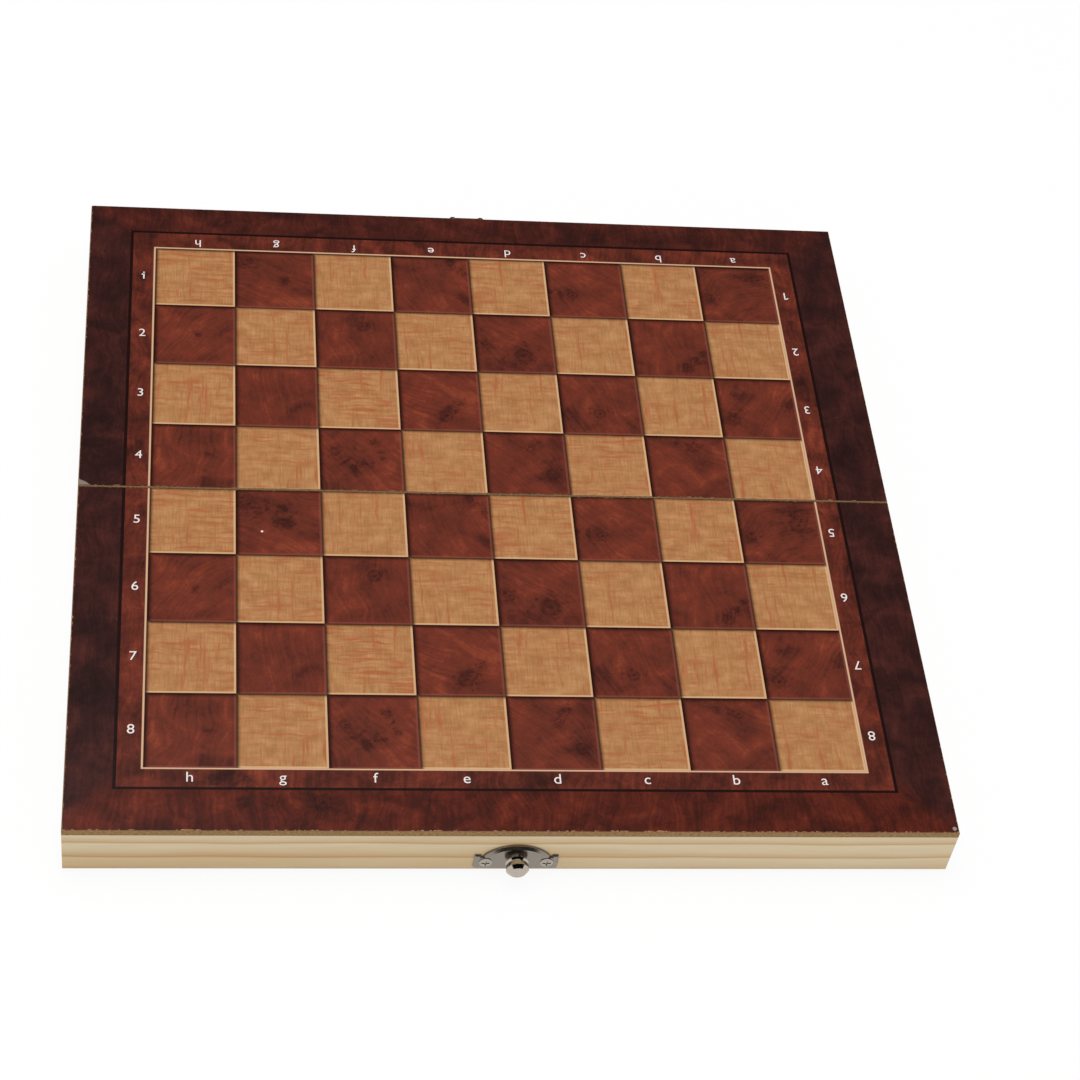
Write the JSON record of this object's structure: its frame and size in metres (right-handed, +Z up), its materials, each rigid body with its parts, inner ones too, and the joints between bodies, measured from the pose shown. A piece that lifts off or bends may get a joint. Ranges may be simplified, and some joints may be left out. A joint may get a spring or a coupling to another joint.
{
  "type": "chess board case",
  "caption": "Folding wooden chess board case: two hinged pine trays with printed fibreboard tops that open flat to a board, with a loop-and-knob catch.",
  "frame": {"origin": "on the surface the open case lies on, under the middle of the fold line", "axes": "+X along the fold line, +Y from the catch side to the clasp side, +Z up through the playing side"},
  "size_m": [0.29, 0.2998, 0.023],
  "materials": {
    "pine": "planed bare pine with a thin clear lacquer",
    "fibreboard": "raw brown fibreboard",
    "printed_sheet": "printed wood-figure sheet under satin lacquer",
    "nickel_plate": "nickel plated stamped steel",
    "steel": "bright steel wire"
  },
  "bodies": {
    "near_half": {"near_panel": "fibreboard", "near_playing_sheet": "printed_sheet", "near_front_rail": "pine", "near_fold_rail": "pine", "near_left_rail": "pine", "near_right_rail": "pine", "corner_nail": "steel", "catch_plate": "nickel_plate", "catch_knob": "nickel_plate", "catch_screws": "nickel_plate", "left_hinge_near_leaf": "nickel_plate", "right_hinge_near_leaf": "nickel_plate", "left_hinge_pin": "steel", "right_hinge_pin": "steel", "near_hinge_screws": "steel"},
    "far_half": {"far_panel": "fibreboard", "far_playing_sheet": "printed_sheet", "far_back_rail": "pine", "far_fold_rail": "pine", "far_left_rail": "pine", "far_right_rail": "pine", "clasp_plate": "nickel_plate", "clasp_screws": "nickel_plate", "clasp_pin": "steel", "left_hinge_far_leaf": "nickel_plate", "right_hinge_far_leaf": "nickel_plate", "far_hinge_screws": "steel"},
    "clasp_loop": {"clasp_loop": "nickel_plate"}
  },
  "joints": [
    {"name": "case_fold", "type": "hinge", "parent": "near_half", "child": "far_half", "pos_m": [0, 0, 0.0015], "axis": [-1, 0, 0], "range_deg": [0, 180]},
    {"name": "clasp_swing", "type": "hinge", "parent": "far_half", "child": "clasp_loop", "pos_m": [0, 0.1472, 0.005], "axis": [-1, 0, 0], "range_deg": [0, 180]}
  ]
}
